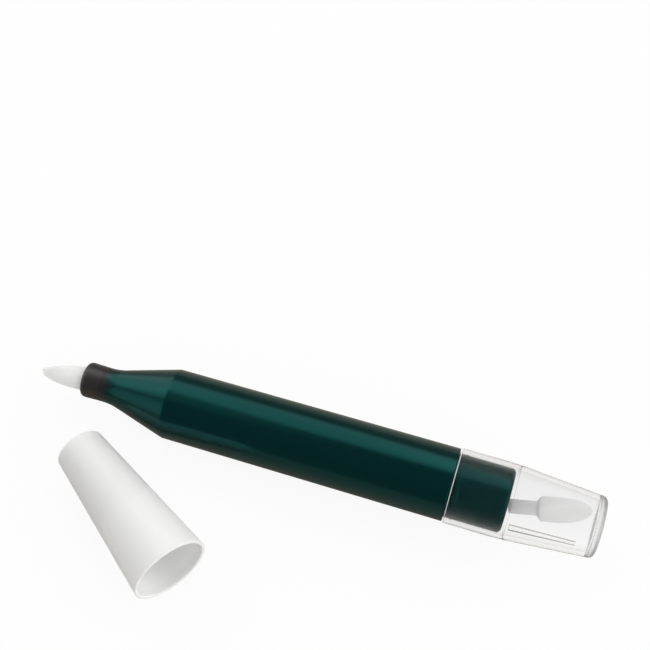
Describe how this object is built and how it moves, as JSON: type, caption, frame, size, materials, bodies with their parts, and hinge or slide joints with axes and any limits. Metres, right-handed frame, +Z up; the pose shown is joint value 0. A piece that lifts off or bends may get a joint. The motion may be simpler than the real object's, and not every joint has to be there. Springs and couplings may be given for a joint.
{
  "type": "nail polish corrector pen",
  "caption": "Slim felt-tip corrector pen with a slanted felt nib, a clear rear cap that holds a spare nib, and a white cone cap lying beside it.",
  "frame": {"origin": "on the surface the pen lies on, at the middle of the footprint of the pen and its cap", "axes": "+X along the pen towards its clear rear cap, -Y towards the side where the white cap lies, +Z up"},
  "size_m": [0.1298, 0.0521, 0.0176],
  "materials": {
    "green_plastic": "glossy dark teal-green moulded plastic",
    "black_plastic": "satin black moulded plastic",
    "white_felt": "dense pressed polyester felt",
    "store_fibre": "loose bundled fibre",
    "film_plastic": "thin translucent film",
    "white_plastic": "semi-gloss white moulded plastic",
    "seal_plastic": "soft natural white moulded plastic",
    "clear_plastic": "clear polished moulded plastic"
  },
  "bodies": {
    "pen": {"barrel": "green_plastic", "nib_holder": "black_plastic", "feed_wick": "store_fibre", "reservoir": "store_fibre", "reservoir_film": "film_plastic", "rear_plug": "green_plastic"},
    "nib": {"nib": "white_felt"},
    "rear_cap": {"rear_cap": "clear_plastic"},
    "spare_nib_1": {"spare_nib_1": "white_felt"},
    "white_cap": {"cap_shell": "white_plastic", "cap_cup": "seal_plastic"}
  },
  "joints": [
    {"name": "nib_pull", "type": "slide", "parent": "pen", "child": "nib", "axis": [-1, 0, -0.0061], "range_m": [0, 0.012]},
    {"name": "rear_cap_pull", "type": "slide", "parent": "pen", "child": "rear_cap", "axis": [1, 0, 0.0061], "range_m": [0, 0.02]},
    {"name": "spare_nib_1_slip", "type": "slide", "parent": "rear_cap", "child": "spare_nib_1", "axis": [1, 0, 0.0061], "range_m": [-0.0003, 0.0002]},
    {"name": "white_cap_swing", "type": "hinge", "parent": "pen", "child": "white_cap", "pos_m": [-0.12814, -0.15921, 0], "axis": [0, 0, 1], "range_deg": [0, 35.2]}
  ]
}
